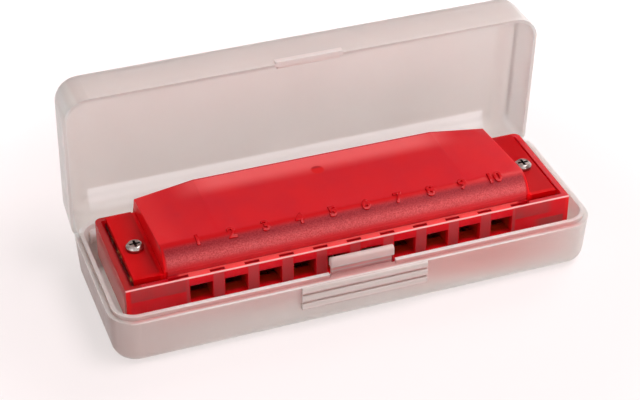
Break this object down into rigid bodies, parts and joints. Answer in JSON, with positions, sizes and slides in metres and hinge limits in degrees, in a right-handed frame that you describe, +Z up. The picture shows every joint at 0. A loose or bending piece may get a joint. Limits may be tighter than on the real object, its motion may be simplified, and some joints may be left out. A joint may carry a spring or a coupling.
{
  "type": "harmonica case",
  "caption": "Hinged plastic case with a snap latch and thumb grip, standing open round a removable diatonic harmonica.",
  "frame": {"origin": "middle of the tray's flat base", "axes": "+X along the case towards the high notes, +Y towards the hinge, +Z up"},
  "size_m": [0.108, 0.0486, 0.0447],
  "materials": {
    "case_plastic": "milky translucent polypropylene, satin",
    "comb_plastic": "clear red polystyrene, glossy",
    "cover_plastic": "red translucent plastic, fine matt texture",
    "brass": "rolled brass",
    "bright_steel": "bright nickel plate"
  },
  "bodies": {
    "tray": {"case_tray": "case_plastic"},
    "latch": {"latch_tongue": "case_plastic"},
    "lid": {"case_lid": "case_plastic"},
    "harmonica": {"comb": "comb_plastic", "upper_reed_plate": "brass", "lower_reed_plate": "brass", "upper_cover": "cover_plastic", "lower_cover": "cover_plastic", "cover_bolts": "bright_steel", "cover_nuts": "bright_steel", "blow_reed_1": "brass", "blow_reed_2": "brass", "blow_reed_3": "brass", "blow_reed_4": "brass", "blow_reed_5": "brass", "blow_reed_6": "brass", "blow_reed_7": "brass", "blow_reed_8": "brass", "blow_reed_9": "brass", "blow_reed_10": "brass", "draw_reed_1": "brass", "draw_reed_2": "brass", "draw_reed_3": "brass", "draw_reed_4": "brass", "draw_reed_5": "brass", "draw_reed_6": "brass", "draw_reed_7": "brass", "draw_reed_8": "brass", "draw_reed_9": "brass", "draw_reed_10": "brass"}
  },
  "joints": [
    {"name": "lid_hinge", "type": "hinge", "parent": "tray", "child": "lid", "pos_m": [0, 0.01575, 0.0093], "axis": [1, 0, 0], "range_deg": [0, 86]},
    {"name": "latch_flex", "type": "hinge", "parent": "tray", "child": "latch", "pos_m": [0, -0.0167, 0.0117], "axis": [-1, 0, 0], "range_deg": [0, 12], "stiffness_Nm_per_rad": 0.05},
    {"name": "harmonica_lift", "type": "slide", "parent": "tray", "child": "harmonica", "axis": [0, 0, 1], "range_m": [0, 0.06]}
  ]
}
